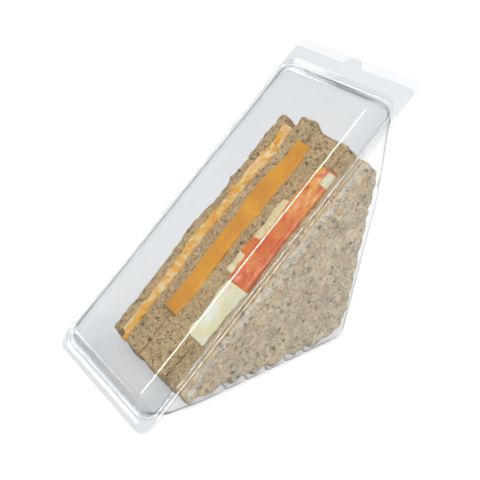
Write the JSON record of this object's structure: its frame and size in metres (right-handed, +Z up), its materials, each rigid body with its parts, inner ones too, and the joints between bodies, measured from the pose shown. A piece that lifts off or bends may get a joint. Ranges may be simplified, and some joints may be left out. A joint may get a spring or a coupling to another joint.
{
  "type": "sandwich wedge pack",
  "caption": "Clear hinged wedge-shaped pack with a half sandwich of bread slices, cheese, egg and salmon standing cut face to the window.",
  "frame": {"origin": "middle of the bounding box on the surface that the pack stands on", "axes": "+Z up, +X across the pack to the right as seen from the window, -Y towards the hinge and the window's foot"},
  "size_m": [0.083, 0.1418, 0.1415],
  "materials": {
    "clear_film": "clear, thin, glossy thermoformed film",
    "bread": "open, matte wholemeal crumb",
    "cheese_spread": "shredded orange cheese in cream",
    "cheddar": "smooth, slightly waxy amber cheese",
    "cream": "soft cream",
    "salmon": "moist salmon with pale veins",
    "egg": "moist boiled egg"
  },
  "bodies": {
    "tray": {"tray": "clear_film", "bread_slice_1": "bread", "cheese_spread": "cheese_spread", "bread_slice_2": "bread", "cheddar_slab": "cheddar", "bread_slice_3": "bread", "cream_filling": "cream", "salmon_scrap": "salmon", "egg_slices": "egg", "salmon_slice": "salmon", "egg_bit": "egg", "bread_slice_4": "bread"},
    "lid": {"lid": "clear_film"}
  },
  "joints": [
    {"name": "lid_hinge", "type": "hinge", "parent": "tray", "child": "lid", "pos_m": [0, -0.07076, 0.00032], "axis": [1, 0, 0], "range_deg": [0, 100]}
  ]
}
